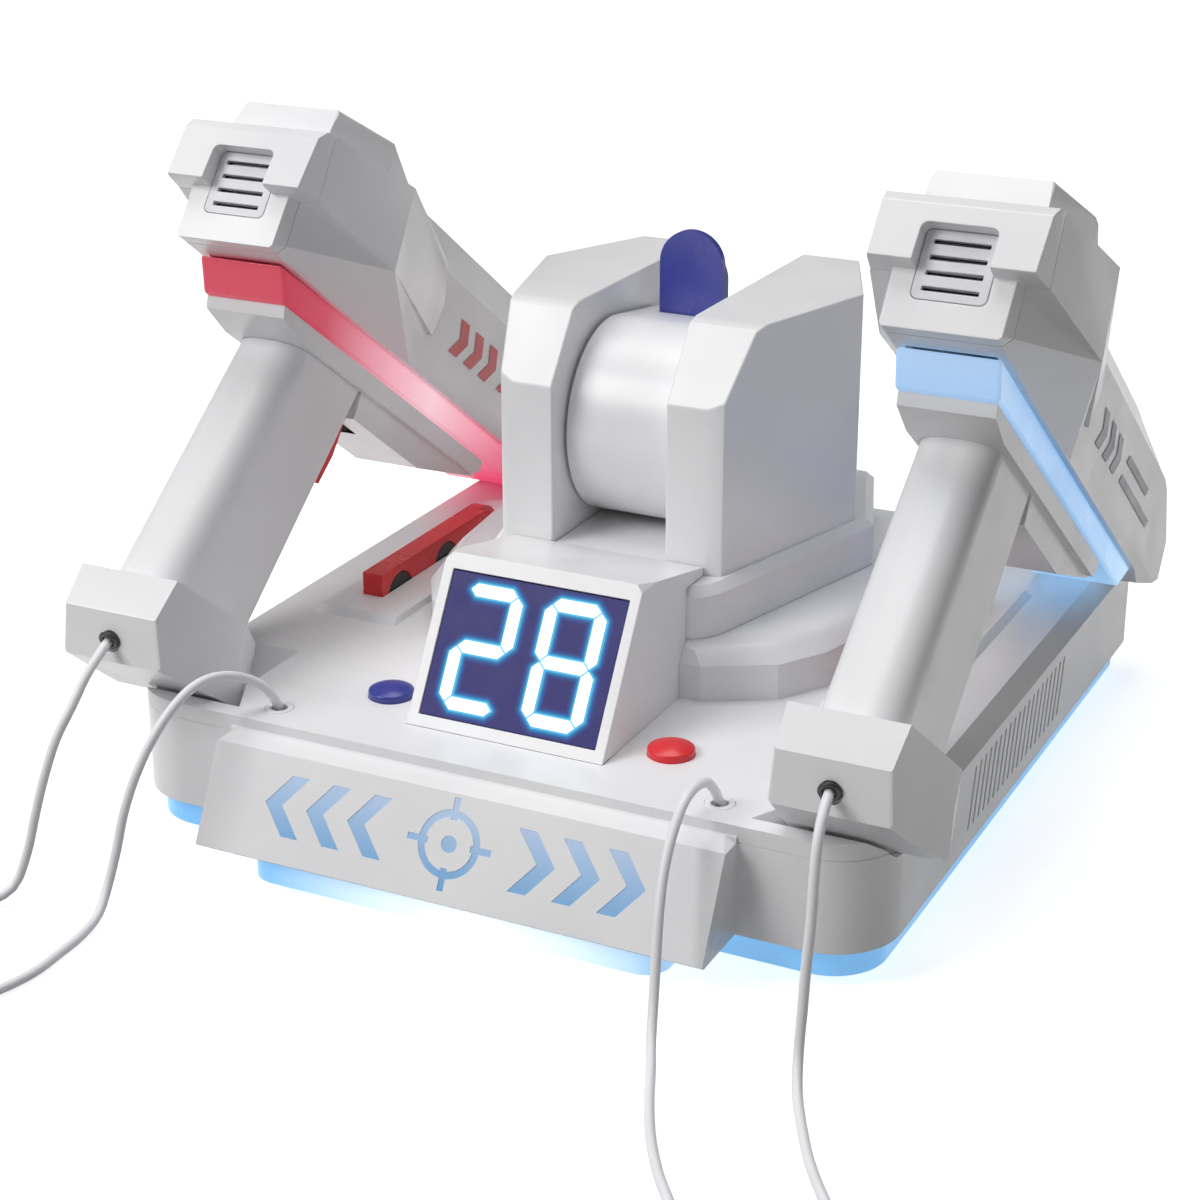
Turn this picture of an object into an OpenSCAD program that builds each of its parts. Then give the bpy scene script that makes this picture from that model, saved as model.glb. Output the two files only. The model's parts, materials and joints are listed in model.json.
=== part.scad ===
// Tabletop target projector with two tethered light guns docked on its base.
// Units are millimetres. X is right, Y is away from the player, Z is up.

/* [Assembly] */
// Which sub-part to draw

/* [Base] */
// Half width of the base
base_half = 150; // [140:1:160]
// Half width of the front nose
nose_half = 100; // [90:1:110]
// Depth of the base
base_depth = 346; // [330:1:360]
// Height of the deck surface
deck_z = 56; // [52:0.5:60]
// Height of the lower edge of the outer wall
wall_z = 15; // [12:0.5:18]
// Wall thickness of the mouldings
wall = 3; // [2:0.5:4]
// Depth of the grooves in the outer walls
rib_depth = 0.8; // [0.4:0.1:1.5]

/* [Display] */
// Width of the display window
window_w = 71; // [60:1:80]
// Height of the display window along its slope
window_h = 54; // [45:1:60]
// Angle of the window from the horizontal
window_tilt = 58.8; // [45:0.1:80]

/* [Projector] */
// Outer radius of the projector drum
drum_r = 38; // [34:0.5:40]
// Half width of the projector drum
drum_half = 22; // [18:0.5:23]
// Height of the drum axis
drum_z = 139; // [136:0.5:145]
// Height of the lens axis at rest
lens_z = 150; // [146:0.5:152]
// Outer radius of the lens barrel
barrel_r = 15; // [12:0.5:15]

/* [Picture slides] */
// Width of a picture slide
slide_w = 26.6; // [24:0.2:27]
// Length of a picture slide
slide_len = 103; // [90:1:103]
// Thickness of the slide in the projector
slide_t = 6; // [5:0.2:8.2]
// Thickness of a spare slide
spare_t = 9; // [8:0.2:9.4]
// Radius of a film disc
film_r = 10; // [7:0.5:11]

/* [Buttons] */
// Radius of a dome button
button_r = 8.5; // [6:0.25:10]

/* [Light guns] */
// Distance of each gun from the middle plane
gun_x = 138.6; // [136:0.2:141]
// Downward slope of the barrel
gun_slope = 35.5; // [30:0.5:40]
// Half width of the light strip
strip_half = 18.4; // [16:0.2:19]
// Half width of the grip
grip_half = 15; // [12:0.5:16]

/* [Cords] */
// Diameter of a gun cord
cord_d = 3.6; // [3:0.1:4]
// Mean radius of the stored cord coil
coil_r = 21.6; // [18:0.6:27]
// Turns side by side in the stored coil
coil_rows = 4; // [3:1:5]
// Layers of turns in the stored coil
coil_layers = 2; // [1:1:4]

/* [Hidden] */
$fn = 48;
gap = 0.2;
drum_y = 182;
slide_y = 208;
gun_y = 83.3;
gun_z = 202.8;
gun_front = gun_y + 309 * cos(gun_slope) + 39 * sin(gun_slope);
shift_y = -(0.6 + gun_front) / 2;
fascia_tilt = 62.73;
button_y = 69;
rib_count = 20;
cord_sides = 8;

// Middle of each stored coil on the table
left_coil = [-162, -98];
right_coil = [180, -137];

// Cord routes: grommet to coil, and gun butt to coil
left_base_route = [[-88, 41, 56], [-90, 40, 61], [-93, 37, 66], [-97, 30, 71],
  [-101, 20, 74], [-104, 10, 73], [-107, 0, 67], [-110, -8, 58],
  [-113, -15, 46], [-115, -20, 34], [-116, -24, 22], [-116.5, -30, 10],
  [-115, -38, 3.4], [-113, -50, 1.8], [-112, -64, 1.8], [-112, -80, 1.8],
  [-117, -97, 1.8], [-127, -111, 1.8], [-143, -121.5, 1.8], [-162, -125, 1.8]];
left_gun_route = [[-138.6, 10, 85.4], [-138, 2, 82], [-138, -6, 77],
  [-139, -13, 69], [-142, -20, 58], [-144, -26, 45], [-146, -30, 32],
  [-148, -34, 18], [-151, -40, 6], [-158, -49, 2], [-168, -58, 1.8],
  [-178, -70, 3], [-185.4, -84.5, 5.4]];
right_base_route = [[88, 41, 56], [87, 39, 61], [86, 35, 66], [85.4, 27, 68],
  [85.6, 17, 67], [86, 7, 60], [87, -2, 50], [89, -10, 38], [91, -16, 26],
  [93, -22, 14], [96, -30, 5], [101, -41, 1.8], [108, -57, 1.8],
  [117, -75, 1.8], [127, -91, 1.8], [137, -104, 1.8], [147, -119, 1.8],
  [153, -137, 1.8]];
right_gun_route = [[138.6, 10, 85.4], [140, 2, 83], [141, -5, 77],
  [142, -10, 66], [143, -14, 52], [143.4, -18, 38], [143.8, -21, 24],
  [144.5, -25, 11], [148, -34, 3], [155, -48, 1.8], [165, -66, 1.8],
  [177, -83, 1.8], [191, -99, 1.8], [203, -117, 3], [207, -137, 5.4]];

// ---------- helpers ----------

// Extrude a (y, z) outline along X.
module slab_x(pts, x0, x1) {
  translate([x0, 0, 0])
    rotate([90, 0, 90])
      linear_extrude(x1 - x0)
        polygon(pts);
}

// Extrude an (x, y) outline along Z.
module slab_z(pts, z0, z1) {
  translate([0, 0, z0])
    linear_extrude(z1 - z0)
      polygon(pts);
}

// Extrude an (x, z) outline along Y.
module slab_y(pts, y0, y1) {
  translate([0, y1, 0])
    rotate([90, 0, 0])
      linear_extrude(y1 - y0)
        polygon(pts);
}

// Box from one corner to the opposite corner.
module box(a, b) {
  translate(a)
    cube(b - a);
}

// Round bar between two heights.
module post(x, y, r, z0, z1) {
  translate([x, y, z0])
    cylinder(r = r, h = z1 - z0);
}

// Round bar along X.
module rod_x(y, z, r, x0, x1) {
  translate([x0, y, z])
    rotate([0, 90, 0])
      cylinder(r = r, h = x1 - x0);
}

// Round bar along Y.
module rod_y(x, z, r, y0, y1) {
  translate([x, y0, z])
    rotate([-90, 0, 0])
      cylinder(r = r, h = y1 - y0);
}

// The child and its mirror image across the middle plane.
module pair() {
  children();
  mirror([1, 0, 0])
    children();
}

// Put the middle of the footprint on the origin.
module place() {
  translate([0, shift_y, 0])
    children();
}

// Plan of the wing block with rounded corners, drawn inside its outline.
module wing_plan(inset) {
  x = base_half - inset;
  y0 = 28 + inset;
  y1 = base_depth - inset;
  r = 25 - inset;
  q = 12 - inset / 2;
  translate([-x, y0 + r])
    square([2 * x, y1 - y0 - r - q]);
  translate([-x + r, y0])
    square([2 * x - 2 * r, r + 1]);
  translate([-x + q, y1 - q - 1])
    square([2 * x - 2 * q, q + 1]);
  for (s = [-1, 1]) {
    translate([s * (x - r), y0 + r])
      circle(r);
    translate([s * (x - q), y1 - q])
      circle(q);
  }
}

module wing_block(inset, z0, z1) {
  translate([0, 0, z0])
    linear_extrude(z1 - z0)
      wing_plan(inset);
}

// Space taken by a docked gun butt, sunk into the front corner of the base.
module cradle_space(grow) {
  intersection() {
    slab_x([[28, 61.6 - grow], [46.8, 47.2 - grow], [76 + 0.4 * grow, 45.2 - grow],
        [105 + 0.65 * grow, 69.7 - 0.77 * grow], [105 + 0.65 * grow, 90],
        [28, 90]], 90, 170);
    slab_z([[110 - grow, 115], [110 - grow, 52], [97.6 - grow, 27], [171, 27],
        [171, 115]], 30, 91);
  }
}

// Space taken by a docked muzzle at the rear corner of the base.
module muzzle_space(grow) {
  slab_x([[306.4 - grow, 60], [309.7 - grow, 56 - grow],
      [313.8 - grow, 50.8 - grow], [337.6, 42.4 - grow], [347.6, 40.9 - grow],
      [372, 40.9 - grow], [372, 90], [306.4 - grow, 90]], 117.3 - grow, 170);
}

// ---------- base ----------

module foot_spots() {
  for (p = [[-112, 62], [112, 62], [-112, 318], [112, 318]]) {
    translate([p[0], p[1], 0])
      children();
  }
}

module screw_spots() {
  for (p = [[-100, 80], [100, 80], [-104, 250], [104, 250], [0, 325], [0, 40]]) {
    translate([p[0], p[1], 0])
      children();
  }
}

module bottom_plate() {
  place()
    color("silver")
      difference() {
        union() {
          wing_block(13, 1, 4);
          box([-67, 15, 1], [67, 60, 4]);
          difference() {
            box([-37, 84, 4], [37, 150, 22]);
            box([-35, 86, 3], [35, 148, 23]);
          }
          for (x = [-50, 50], y = [210, 290])
            post(x, y, 3, 4, 20);
        }
        box([-34, 87, 0], [34, 147, 5]);
        box([-10, 300, 0], [10, 310, 5]);
        foot_spots()
          translate([0, 0, 0.5])
            cylinder(r = 9.2, h = 2);
        screw_spots()
          union() {
            cylinder(r = 1.8, h = 6);
            cylinder(r = 3.4, h = 2.6);
          }
      }
}

module feet() {
  place()
    color("dimgray")
      foot_spots()
        cylinder(r = 9, h = 2.4);
}

module ring_plan(inset) {
  wing_plan(4.5 + inset);
  translate([-72 + inset, 6 + inset])
    square([144 - 2 * inset, 50]);
  translate([-82 + inset, 16])
    square([164 - 2 * inset, 40]);
  for (s = [-1, 1])
    translate([s * 72, 16])
      circle(10 - inset);
}

module underglow_ring() {
  place()
    color("deepskyblue")
      difference() {
        translate([0, 0, 4.2])
          linear_extrude(10.6)
            ring_plan(0);
        translate([0, 0, 3])
          linear_extrude(20)
            ring_plan(9);
      }
}

// Slanted grooves along an outer wall.
module wall_ribs() {
  for (i = [0 : rib_count - 1])
    slab_x([[122 + 5.8 * i, 22], [124 + 5.8 * i, 22], [130 + 5.8 * i, 45],
        [128 + 5.8 * i, 45]], base_half - rib_depth, base_half + 2);
}

module base_shell() {
  place()
    color("whitesmoke")
      difference() {
        union() {
          wing_block(0, wall_z, 49.8);
          slab_x([[4.8, wall_z], [21.6, 47.6], [21.6, 49.8], [60, 49.8],
              [60, wall_z]], -nose_half, nose_half);
        }
        wing_block(wall, wall_z + 2, 60);
        wing_block(16, 0, 60);
        slab_x([[10, wall_z + 2], [24.8, 46.8], [24.8, 60], [70, 60],
            [70, wall_z + 2]], -nose_half + wall, nose_half - wall);
        slab_x([[3, wall_z + 2], [18, 46.8], [30, 46.8], [30, wall_z + 2]],
            -nose_half + 10, nose_half - 10);
        box([-66, 18, 0], [66, 60, 30]);
        pair() {
          wall_ribs();
          cradle_space(0.4);
          muzzle_space(0);
        }
        box([-8, 330, 24], [8, 360, 34]);
      }
}

module deck_outer() {
  intersection() {
    union() {
      hull() {
        wing_block(0, 50, 50.1);
        wing_block(6, deck_z - 0.1, deck_z);
      }
      intersection() {
        wing_block(0, 50, deck_z);
        box([-170, 20, 50], [170, 75, 57]);
      }
      slab_x([[18.2, 50], [18.2, 50.3], [41, 55], [46, deck_z], [60, deck_z],
          [60, 50]], -nose_half, nose_half);
    }
    union() {
      box([-base_half, 70, 40], [base_half, base_depth, 60]);
      slab_y([[-150, 40], [-150, 60], [-140, 60], [-nose_half, 60],
          [nose_half, 60], [140, 60], [150, 60], [150, 40]], 27, 70.1);
      slab_y([[-nose_half, 40], [-nose_half, 50], [-92, 54], [-86, 60], [86, 60],
          [92, 54], [nose_half, 50], [nose_half, 40]], 0, 28);
    }
  }
}

module plateau_outer(grow) {
  a = [[0, 114], [48, 114], [73, 128], [84.5, 147], [93, 179], [97, 220],
    [97, 262], [84, 292], [0, 292]];
  pair()
    hull() {
      slab_z([for (p = a) [max(0, p[0] + grow), p[1]]], 50, 70 + grow);
      slab_z([for (p = a) [max(0, p[0] + grow - 4), p[1] < 200
        ? p[1] + 3 : p[1] - 4]], 50, 75 + grow);
      slab_z([for (p = a) [max(0, p[0] + grow - 8), p[1] < 200
        ? p[1] + 6 : p[1] - 8]], 50, 77 + grow);
    }
}

// Raised pad that holds a spare slide.
module slide_pad() {
  hull() {
    box([90, 126.3, 53.5], [127, 269, 56]);
    box([90, 129, 56], [124.5, 266.7, 59]);
  }
}

module slide_pocket(z0, grow) {
  box([105.8 - grow, 144.7 - grow, z0],
    [106.2 + spare_t + grow, 145.3 + slide_len + grow, 70]);
}

module slide_socket() {
  intersection() {
    slide_pocket(39, 2);
    box([90, 120, 38], [130, 280, 55]);
  }
}

module deck_cover() {
  place()
    color("white")
      difference() {
        union() {
          deck_outer();
          plateau_outer(0);
          screw_spots()
            translate([0, 0, 4.4])
              cylinder(r = 4.5, h = 50);
          pair() {
            post(69.5, 61, 2.5, 35.6, 53.5);
            intersection() {
              cradle_space(2.5);
              wing_block(wall + 0.3, 36, deck_z - 0.5);
            }
            intersection() {
              muzzle_space(2.5);
              wing_block(wall + 0.3, 36, deck_z - 0.5);
            }
            slide_pad();
            slide_socket();
          }
        }
        // hollow of the deck and of the raised terrace
        difference() {
          wing_block(6, 40, 53);
          pair() {
            cradle_space(2.6);
            muzzle_space(2.6);
            slide_socket();
            post(69.5, 61, 2.5, 35.6, 53.5);
          }
          screw_spots()
            cylinder(r = 4.5, h = 60);
        }
        difference() {
          slab_x([[34, 49], [44, 53], [46, 53], [60, 53], [60, 49]], -94, 94);
          screw_spots()
            cylinder(r = 4.5, h = 60);
        }
        difference() {
          pair()
            slab_z([[-1, 123], [36, 123], [46, 137], [66, 137], [78, 150],
                [86, 180], [90, 220], [90, 258], [78, 284], [-1, 284]], 49, 67);
        }
        slab_z([[-40, 137], [40, 137], [60, 200], [45, 262], [-45, 262],
            [-60, 200]], 60, 80);
        // seat of the display housing
        box([-39.6, 49.45, 52], [39.6, 119.4, 100]);
        box([-36, 62, 49], [36, 116, 60]);
        pair() {
          cradle_space(0);
          muzzle_space(0);
          slide_pocket(41.4, 0);
          post(57, button_y, button_r + gap, 40, 60);
          post(88, 41, 4.4, 40, 60);
          post(88, 41, 5.5, 55.2, 60);
        }
        screw_spots()
          translate([0, 0, 3])
            cylinder(r = 1.55, h = 22);
      }
}

// Working plane of the front fascia: x across, y up the slope.
module on_fascia() {
  translate([0, 0.4, 15.9])
    rotate([fascia_tilt, 0, 0])
      children();
}

module ring2d(r, t) {
  difference() {
    circle(r);
    circle(r - t);
  }
}

// Generic target mark with arrow bars on each side.
module fascia_mark() {
  translate([0, 21]) {
    ring2d(12, 2.6);
    circle(3);
    for (a = [0 : 90 : 270])
      rotate(a)
        translate([8.4, -1.2])
          square([8, 2.4]);
  }
  for (m = [0, 1])
    mirror([m, 0])
      for (i = [0 : 2])
        translate([25 + 17 * i, 21])
          polygon([[0, 11], [7, 11], [16, 0], [7, -11], [0, -11], [9, 0]]);
}

module nose_fascia() {
  place()
    color("white")
      difference() {
        slab_x([[2, wall_z], [0.6, 16.2], [18.2, 50.3], [18.2, 49.9],
            [21.4, 49.9], [21.4, 47.9], [5.4, 17], [4.6, wall_z]],
            -nose_half, nose_half);
        on_fascia()
          translate([0, 0, -1.5])
            linear_extrude(3)
              fascia_mark();
      }
}

module fascia_inlay() {
  place()
    color("lightskyblue")
      on_fascia()
        translate([0, 0, -1.5])
          linear_extrude(1.1)
            fascia_mark();
}

module cord_grommets() {
  place()
    color("gainsboro")
      for (s = [-1, 1])
        translate([s * 88, 41, 0])
          difference() {
            union() {
              translate([0, 0, 46.8])
                cylinder(r = 4.2, h = 9);
              translate([0, 0, 55.3])
                cylinder(r = 5.3, h = 1);
              translate([0, 0, 46.8])
                cylinder(r = 5.6, h = 1.4);
            }
            translate([0, 0, 46])
              cylinder(r = 3, h = 12);
          }
}

module case_screws() {
  place()
    color("darkgray")
      screw_spots()
        union() {
          translate([0, 0, 1])
            cylinder(r = 3, h = 1.6);
          translate([0, 0, 2])
            cylinder(r = 1.5, h = 20);
        }
}

// ---------- display ----------

module on_window() {
  translate([0, 51.8, 60])
    rotate([window_tilt, 0, 0])
      children();
}

module display_housing() {
  place()
    color("white")
      difference() {
        slab_x([[49.5, deck_z], [83, 111.5], [134.6, 100.4], [134.6, 97.3],
            [119.3, 97.3], [119.3, 53.2], [60, 53.2], [60, deck_z]],
            -39.5, 39.5);
        slab_x([[55, 50], [86, 108], [116, 101.5], [116, 50]], -37, 37);
        on_window()
          translate([-window_w / 2, 0, -4])
            cube([window_w, window_h + 0.2, 10]);
        on_window()
          translate([-window_w / 2 - 2, -2, -12])
            cube([window_w + 4, window_h + 4, 9.8]);
        pair()
          translate([36.5, 40, 112])
            rotate([0, 45, 0])
              cube([6, 100, 6]);
      }
}

module display_window() {
  place()
    color([0.18, 0.17, 0.4])
      on_window()
        translate([-window_w / 2 + 0.2, 0.2, -2])
          cube([window_w - 0.4, window_h - 0.4, 1.4]);
}

// One bar of a seven-bar number.
module bar2d(l) {
  polygon([[-l / 2, 0], [-l / 2 + 2.3, 2.3], [l / 2 - 2.3, 2.3], [l / 2, 0],
      [l / 2 - 2.3, -2.3], [-l / 2 + 2.3, -2.3]]);
}

module digit2d(on) {
  w = 9.8;
  h = 10.5;
  spots = [[0, 2 * h, 0], [w, h, 90], [w, -h, 90], [0, -2 * h, 0],
    [-w, -h, 90], [-w, h, 90], [0, 0, 0]];
  for (i = on)
    translate([spots[i][0], spots[i][1]])
      rotate(spots[i][2])
        bar2d(i == 0 || i == 3 || i == 6 ? 18.6 : 20);
}

module display_digits() {
  place()
    color("white")
      on_window()
        translate([0, 27, -0.5])
          linear_extrude(0.6)
            union() {
              translate([-17, 0])
                digit2d([0, 1, 3, 4, 6]);
              translate([16.4, 0])
                digit2d([0, 1, 2, 3, 4, 5, 6]);
            }
}

// ---------- tower ----------

module pedestal() {
  a = [[0, 119.6], [36, 119.6], [40, 120.2], [44, 122.4], [47, 125.8],
    [49.3, 130.4], [50.6, 135], [74, 222], [54, 277], [0, 277]];
  b = [[0, 123], [36, 123], [39.5, 123.7], [42.6, 125.6], [44.8, 128.4],
    [46.4, 132.2], [47.3, 136], [70.5, 221.6], [51.6, 273.4], [0, 273.4]];
  place()
    color("white")
      difference() {
        union() {
          pair()
            hull() {
              slab_z(a, 77.2, 93.5);
              slab_z(b, 77.2, 97);
            }
          box([-23, 135, 96], [23, 268, 99.5]);
        }
        pair() {
          slab_z([[-1, 124], [36, 124], [42, 130], [46, 140], [66, 222],
              [50, 272], [-1, 272]], 76, 90);
          translate([0, 0, 93.5])
            linear_extrude(10)
              cheek_plan(-0.1);
          post(40, 180, 2, 88, 98);
        }
      }
}

module cheek_plan(inset) {
  polygon([[23.5 + inset, 135 + inset], [40 - inset / 2, 135 + inset],
      [46 - inset, 137 + inset], [68 - inset, 217],
      [46 - inset, 270 - inset], [23.5 + inset, 270 - inset]]);
}

module cheek_body() {
  difference() {
    intersection() {
      translate([0, 0, 93.6])
        linear_extrude(96)
          cheek_plan(0);
      slab_x([[135, 93], [135, 161], [154, 187], [160, 188.5], [266, 187.5],
          [270, 183], [270, 93]], 20, 72);
    }
    intersection() {
      translate([0, 0, 92])
        linear_extrude(92)
          cheek_plan(4);
      slab_x([[139, 92], [139, 158], [156, 181], [162, 183.5], [261, 182.5],
          [265, 179], [265, 92]], 20, 72);
    }
    rod_x(drum_y, drum_z, 6.05, 20, 30);
  }
}

module right_cheek() {
  place()
    color("white")
      cheek_body();
}

module left_cheek() {
  place()
    color("white")
      mirror([1, 0, 0])
        cheek_body();
}

module gate_box(grow) {
  box([-17 - grow, 204 - grow, 121 - grow],
    [17 + grow, 220 + grow, 165 + grow]);
}

module projector_drum() {
  place()
    color("white")
      union() {
        difference() {
          union() {
            rod_x(drum_y, drum_z, drum_r, -drum_half, drum_half);
            slab_x([[182, 139], [187.7, 176.5], [226, 170.7], [226, 120],
                [212, 108], [196, 103.8]], -drum_half, drum_half);
          }
          rod_x(drum_y, drum_z, drum_r - 2.5, -drum_half + 2, drum_half - 2);
          slab_x([[182, 139], [189, 173.5], [222.5, 168.5], [222.5, 122],
              [210, 111], [196, 107]], -drum_half + 2, drum_half - 2);
          gate_box(0.1);
          box([-slide_w / 2 - 0.4, slide_y - 0.4, 98],
            [slide_w / 2 + 0.4, slide_y + slide_t + 0.4, 190]);
          rod_y(0, lens_z, barrel_r + 0.1, 215, 230);
        }
        rod_x(drum_y, drum_z, 6, drum_half - 1, 29);
        rod_x(drum_y, drum_z, 6, -29, -drum_half + 1);
      }
}

module slide_gate() {
  place()
    color("gray")
      difference() {
        union() {
          gate_box(0);
          for (x = [-11, 11])
            rod_y(x, lens_z, 2, 189.6, 205);
        }
        box([-slide_w / 2 - 0.3, slide_y - 0.3, 100],
          [slide_w / 2 + 0.3, slide_y + slide_t + 0.3, 180]);
        rod_y(0, lens_z, 8, 200, 230);
      }
}

module lens_barrel() {
  place()
    color("dimgray")
      difference() {
        union() {
          rod_y(0, lens_z, barrel_r, 220.1, 226);
          rod_y(0, lens_z, 12, 226, 252);
        }
        rod_y(0, lens_z, 10, 218, 254);
      }
}

module focus_ring() {
  place()
    color("black")
      difference() {
        rod_y(0, lens_z, barrel_r, 230, 244);
        rod_y(0, lens_z, 12.08, 229, 245);
        for (a = [0 : 30 : 330])
          translate([0, 0, lens_z])
            rotate([0, a, 0])
              translate([0, 0, -lens_z])
                rod_y(barrel_r + 0.6, lens_z, 1.4, 232, 242);
      }
}

module front_lens() {
  place()
    color("lightcyan")
      rod_y(0, lens_z, 9.9, 244, 248);
}

module lamp_board() {
  place()
    color("green")
      union() {
        box([-14, 188, 136], [14, 189.6, 162]);
        rod_y(0, lens_z, 5, 189.6, 196);
      }
}

// Picture slide lying along Y, handle end at the far side, film face toward +X.
module slide_outline(l, r) {
  translate([0, -slide_w / 2])
    square([l - r, slide_w]);
  translate([l - r, 0])
    circle(r, $fn = 64);
}

module slide_body(t) {
  difference() {
    union() {
      linear_extrude(t - 3)
        slide_outline(slide_len, slide_w / 2);
      linear_extrude(t)
        slide_outline(slide_len - 6, slide_w / 2);
    }
    for (c = [14, 52]) {
      translate([c, 0, t - 2])
        cylinder(r = film_r + 0.1, h = 4);
      translate([c, 0, -1])
        cylinder(r = 5.5, h = 20);
    }
  }
}

module film_pair() {
  for (c = [14, 52])
    translate([c, 0, spare_t - 2])
      cylinder(r = film_r, h = 1.8);
}

// Upright in the projector, handle up.
module in_gate() {
  translate([0, slide_y, 207 - slide_len])
    rotate([0, -90, 0])
      rotate([-90, 0, 0])
        children();
}

// On edge in the left tray.
module in_tray() {
  translate([-106 - spare_t, 145, 41.6 + slide_w / 2])
    rotate([90, 0, 90])
      children();
}

module slide_blue() {
  place()
    color("mediumblue")
      in_gate()
        slide_body(slide_t);
}

module slide_red_left() {
  place()
    color("red")
      in_tray()
        slide_body(spare_t);
}

module film_red_left() {
  place()
    color("black")
      in_tray()
        film_pair();
}

module slide_red_right() {
  place()
    color("red")
      mirror([1, 0, 0])
        in_tray()
          slide_body(spare_t);
}

module film_red_right() {
  place()
    color("black")
      mirror([1, 0, 0])
        in_tray()
          film_pair();
}

// ---------- buttons and electronics ----------

module dome_button(x) {
  translate([x, button_y, 0])
    union() {
      translate([0, 0, 46])
        cylinder(r = button_r, h = 12.2);
      translate([0, 0, 46])
        cylinder(r = button_r + 2, h = 2.5);
      intersection() {
        translate([0, 0, 58])
          cylinder(r = button_r, h = 4);
        translate([0, 0, 60.6 - 18])
          sphere(18, $fn = 64);
      }
    }
}

module blue_button() {
  place()
    color("mediumblue")
      dome_button(-57);
}

module red_button() {
  place()
    color("red")
      dome_button(57);
}

module button_springs() {
  place()
    color("silver")
      for (s = [-1, 1])
        translate([s * 57, button_y, 35.6])
          difference() {
            cylinder(r = 4, h = 10.4);
            cylinder(r = 3, h = 20, center = true);
          }
}

module switch_board() {
  place()
    color("green")
      difference() {
        box([-72, 58, 34], [72, 76, 35.6]);
        screw_spots()
          cylinder(r = 5, h = 60);
      }
}

module main_board() {
  place()
    color("green")
      union() {
        box([-60, 200, 20], [60, 298, 21.6]);
        box([-20, 230, 21.6], [10, 255, 25]);
        box([30, 215, 21.6], [45, 225, 30]);
      }
}

module battery_door() {
  place()
    color("silver")
      union() {
        box([-33.7, 87.3, 1], [33.7, 146.7, 3]);
        box([-8, 86.1, 4.1], [8, 90, 5.6]);
        box([-8, 87.3, 2.9], [8, 90, 4.2]);
      }
}

module batteries() {
  place()
    color("olive")
      for (x = [-24, -8, 8, 24])
        union() {
          rod_y(x, 13, 7.1, 92, 141);
          rod_y(x, 13, 2.6, 141, 142.2);
        }
}

module power_switch() {
  place()
    color("black")
      union() {
        box([-6.5, 342.4, 26], [0.5, 349, 32]);
        box([-9.5, 338.4, 23], [3.5, 342.8, 35]);
      }
}

// ---------- light guns ----------

// Gun frame: x across, y along the barrel, z up from the strip.
module on_gun(side) {
  translate([side * gun_x, gun_y, gun_z])
    rotate([-gun_slope, 0, 0])
      children();
}

// Thin plate of a loft at one station along the barrel.
module station(y, pts) {
  slab_y(concat(pts, [for (i = [len(pts) - 1 : -1 : 0])
    [-pts[i][0], pts[i][1]]]), y - 0.01, y + 0.01);
}

module gun_shell_body() {
  difference() {
    union() {
      // head, upper half
      hull() {
        station(10, [[31, 36], [30.2, 62.8]]);
        station(60, [[40, 31], [38.5, 65.5]]);
        station(132, [[22, 30], [23.5, 45], [20, 62]]);
      }
      // head, lower half
      hull() {
        station(10, [[20, 14.7], [23, 18], [23, 36]]);
        station(60, [[20, 13.6], [40, 31], [30, 40]]);
        station(126, [[19.4, 13.6], [22, 34], [18, 40]]);
      }
      // raised block
      hull() {
        station(18, [[21.5, 60], [21.5, 69]]);
        station(21, [[21, 76.5], [20, 78]]);
        station(53, [[29.5, 62], [29.5, 77.5], [28, 80]]);
        station(80, [[27, 60], [26, 70]]);
      }
      // barrel and muzzle
      intersection() {
        slab_y([[-19.4, 10], [-20.9, 20], [-20.9, 58.3], [-9.8, 78.3],
            [9.8, 78.3], [20.9, 58.3], [20.9, 20], [19.4, 10]], 50, 310);
        slab_x([[50, 13.6], [266, 13.6], [276, 10.6], [300, 17.5], [309, 22],
            [309, 39], [288, 56], [278, 59.2], [256, 70], [250, 78.3],
            [105, 78.3], [95, 66], [50, 50]], -30, 30);
      }
    }
    // hollow
    slab_x([[8, 17], [8, 58], [100, 58], [110, 64], [240, 64], [270, 50],
        [270, 16], [262, 10], [20, 10], [20, 17]], -16, 16);
    hull() {
      station(8, [[20, 17], [20, 33]]);
      station(60, [[17, 17], [30, 33]]);
    }
    hull() {
      station(8, [[27, 38], [27, 58]]);
      station(60, [[36, 36], [36, 58]]);
      station(110, [[18, 36], [18, 58]]);
    }
    rod_y(0, 31, 6, 268, 312);
    rod_y(0, 31, 7.1, 300, 312);
  }
}

// Rectangle outline with rounded corners, in (x, z).
function rounded(half, z0, z1, r) = [
  for (c = [[half - r, z1 - r, 0], [r - half, z1 - r, 90],
      [r - half, z0 + r, 180], [half - r, z0 + r, 270]], a = [0 : 30 : 90])
    [c[0] + r * cos(c[2] + a), c[1] + r * sin(c[2] + a)]];

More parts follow.
